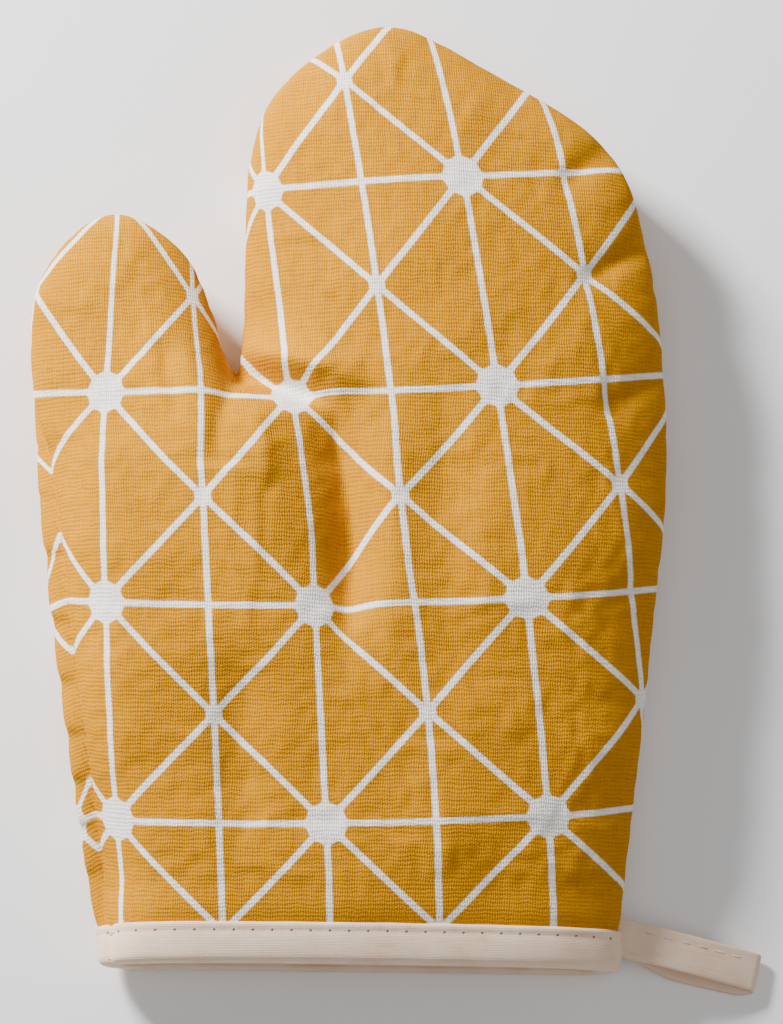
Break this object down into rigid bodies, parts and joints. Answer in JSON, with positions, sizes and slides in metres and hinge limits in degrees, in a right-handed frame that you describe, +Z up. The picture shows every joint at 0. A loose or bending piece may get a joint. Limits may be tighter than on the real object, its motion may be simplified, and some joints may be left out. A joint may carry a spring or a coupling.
{
  "type": "oven mitt",
  "caption": "Padded oven mitt with a thumb, lined and bound at the cuff, lying flat, with a folded-tape hanging loop that swings at the cuff's corner.",
  "frame": {"origin": "middle of the flat underside, on the cuff's middle line, half way along the mitt", "axes": "+Z up out of the front panel, +Y from the cuff to the fingertips, +X away from the thumb, towards the hanging loop"},
  "size_m": [0.209, 0.2726, 0.038],
  "materials": {
    "printed_canvas": "plain-weave cotton canvas, mustard yellow with a white printed line lattice",
    "batting": "soft needled fibre wadding",
    "lining_cotton": "plain unbleached cotton",
    "bias_tape": "folded beige cotton bias tape with a faint sheen",
    "stitch_thread": "twisted beige polyester thread",
    "seam_thread": "twisted mustard polyester thread"
  },
  "bodies": {
    "mitt": {"outer_front": "printed_canvas", "outer_back": "printed_canvas", "batting_front": "batting", "batting_back": "batting", "lining_front": "lining_cotton", "lining_back": "lining_cotton", "outer_seam_thread": "seam_thread", "lining_seam_thread": "stitch_thread", "cuff_binding": "bias_tape", "binding_stitches": "stitch_thread", "loop_root": "bias_tape"},
    "loop": {"hanging_loop": "bias_tape", "loop_stitches": "stitch_thread"}
  },
  "joints": [
    {"name": "loop_swing", "type": "hinge", "parent": "mitt", "child": "loop", "pos_m": [0.07712, -0.1266, 0.01], "axis": [-0.2079, -0.9781, 0], "range_deg": [-75, 120]}
  ]
}
